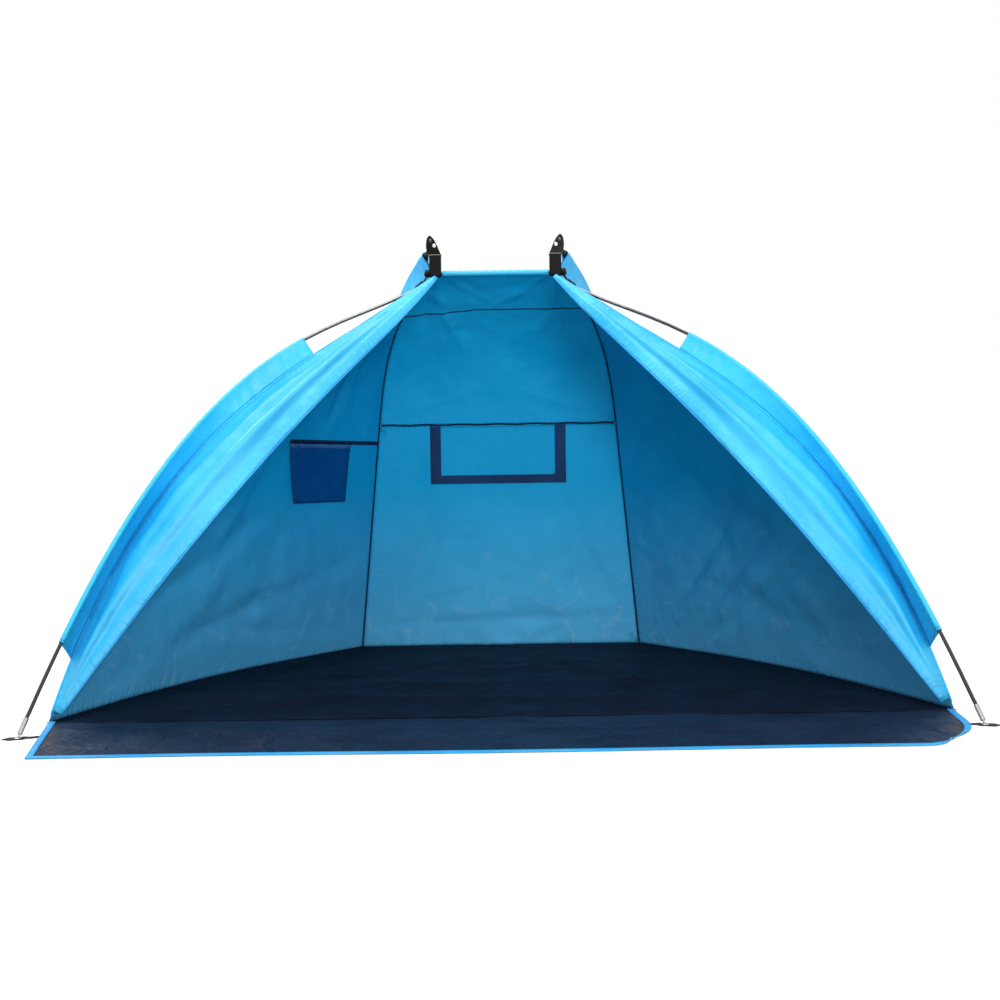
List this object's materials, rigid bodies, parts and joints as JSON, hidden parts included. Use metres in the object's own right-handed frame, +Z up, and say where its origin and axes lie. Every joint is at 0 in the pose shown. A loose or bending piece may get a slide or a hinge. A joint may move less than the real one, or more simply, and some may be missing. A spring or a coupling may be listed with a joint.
{
  "type": "beach tent",
  "caption": "Low open-fronted beach tent: sprung poles in sleeves, moulded ridge hubs, a ground sheet with a front apron, a rear window with a flap and an inside pocket.",
  "frame": {"origin": "on the ground, at the middle of the footprint's bounding box", "axes": "+Z up, the open side faces -Y, +X to the right of someone who looks in"},
  "size_m": [2.2556, 1.4721, 1.2882],
  "materials": {
    "black_glass_fibre": "pultruded glass fibre rod",
    "black_webbing": "woven webbing",
    "bright_steel": "plated, bright",
    "moulded_black_plastic": "moulded, slightly glossy",
    "navy_polyester": "dark blue coated polyester",
    "sky_polyester": "plain weave polyester, water repellent",
    "sky_polyester_inside": "coated inner face of the same polyester"
  },
  "bodies": {
    "ground": {"apron_binding": "sky_polyester", "floor_sheet": "navy_polyester", "front_apron": "navy_polyester", "rear_foot_tab_left": "black_webbing", "rear_foot_tab_right": "black_webbing"},
    "rear_frame": {"back_panel_lower": "sky_polyester_inside", "back_panel_upper": "sky_polyester_inside", "back_seam_piping": "navy_polyester", "ear_rivet_left_1": "bright_steel", "ear_rivet_left_2": "bright_steel", "ear_rivet_right_1": "bright_steel", "ear_rivet_right_2": "bright_steel", "hub_block_left": "moulded_black_plastic", "hub_block_right": "moulded_black_plastic", "hub_ear_left": "moulded_black_plastic", "hub_ear_right": "moulded_black_plastic", "hub_rim_left": "bright_steel", "hub_rim_right": "bright_steel", "pocket_base": "navy_polyester", "pocket_front": "navy_polyester", "pocket_side_front": "navy_polyester", "pocket_side_rear": "navy_polyester", "pocket_tape": "navy_polyester", "rear_arm_left": "moulded_black_plastic", "rear_arm_right": "moulded_black_plastic", "rear_ferrule_left": "bright_steel", "rear_ferrule_right": "bright_steel", "rear_pole_left": "black_glass_fibre", "rear_pole_right": "black_glass_fibre", "rear_sleeve_left": "sky_polyester", "rear_sleeve_right": "sky_polyester", "rib_piping_left": "navy_polyester", "rib_piping_right": "navy_polyester", "ridge_bar": "black_glass_fibre", "ridge_tunnel": "sky_polyester", "roof_panel": "sky_polyester_inside", "roof_seam_piping": "navy_polyester", "side_wall_left": "sky_polyester_inside", "side_wall_right": "sky_polyester_inside", "swivel_pin_left": "bright_steel", "swivel_pin_right": "bright_steel", "window_border": "navy_polyester"},
    "front_leg_left": {"front_arm_left": "moulded_black_plastic", "front_ferrule_left": "bright_steel", "front_foot_tab_left": "black_webbing", "front_pole_left": "black_glass_fibre", "front_seam_left": "sky_polyester", "front_sleeve_left": "sky_polyester", "wing_left": "sky_polyester"},
    "front_leg_right": {"front_arm_right": "moulded_black_plastic", "front_ferrule_right": "bright_steel", "front_foot_tab_right": "black_webbing", "front_pole_right": "black_glass_fibre", "front_seam_right": "sky_polyester", "front_sleeve_right": "sky_polyester", "wing_right": "sky_polyester"},
    "window_flap": {"window_flap": "sky_polyester"}
  },
  "joints": [
    {"name": "rear_tilt", "type": "hinge", "parent": "ground", "child": "rear_frame", "pos_m": [0, 0.70408, 0], "axis": [-1, 0, 0], "range_deg": [0, 24.5]},
    {"name": "front_fold_left", "type": "hinge", "parent": "rear_frame", "child": "front_leg_left", "pos_m": [-0.2013, 0.21908, 1.177], "axis": [1, 0, 0], "range_deg": [0, 34], "deforming": ["side_wall_left", "floor_sheet", "front_apron", "apron_binding"]},
    {"name": "front_fold_right", "type": "hinge", "parent": "rear_frame", "child": "front_leg_right", "pos_m": [0.2013, 0.21908, 1.177], "axis": [1, 0, 0], "range_deg": [0, 34], "deforming": ["side_wall_right"]},
    {"name": "window_flap_lift", "type": "hinge", "parent": "rear_frame", "child": "window_flap", "pos_m": [0, 0.66088, 0.744], "axis": [1, 0, 0], "range_deg": [0, 150]}
  ],
  "couplings": [
    {"joint": "front_fold_right", "follows": "front_fold_left", "ratio": 1},
    {"joint": "rear_tilt", "follows": "front_fold_left", "ratio": 0.72}
  ]
}
